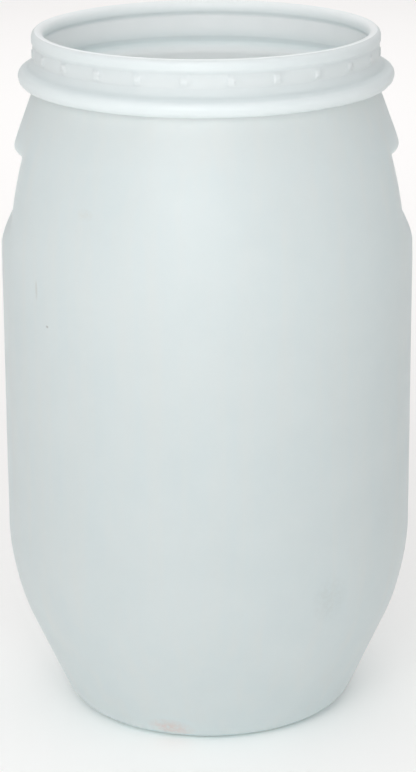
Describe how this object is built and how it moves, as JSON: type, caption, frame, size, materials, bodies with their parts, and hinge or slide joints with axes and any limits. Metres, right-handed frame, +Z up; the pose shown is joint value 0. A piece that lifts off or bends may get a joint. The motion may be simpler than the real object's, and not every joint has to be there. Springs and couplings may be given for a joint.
{
  "type": "plastic open head drum",
  "caption": "Tall round open head drum in natural polyethylene: straight body, tapered base and shoulder, two moulded hand grips and a flanged neck that takes a lid.",
  "frame": {"origin": "on the floor at the drum's axis, at the centre of the foot ring", "axes": "+Z up along the drum's axis and out of the mouth; the two hand grips are at +X and -X"},
  "size_m": [0.48, 0.4798, 0.815],
  "materials": {
    "natural_polyethylene": "satin, milky and slightly translucent, as blow moulded"
  },
  "bodies": {
    "root": {"drum_body": "natural_polyethylene"}
  },
  "joints": []
}
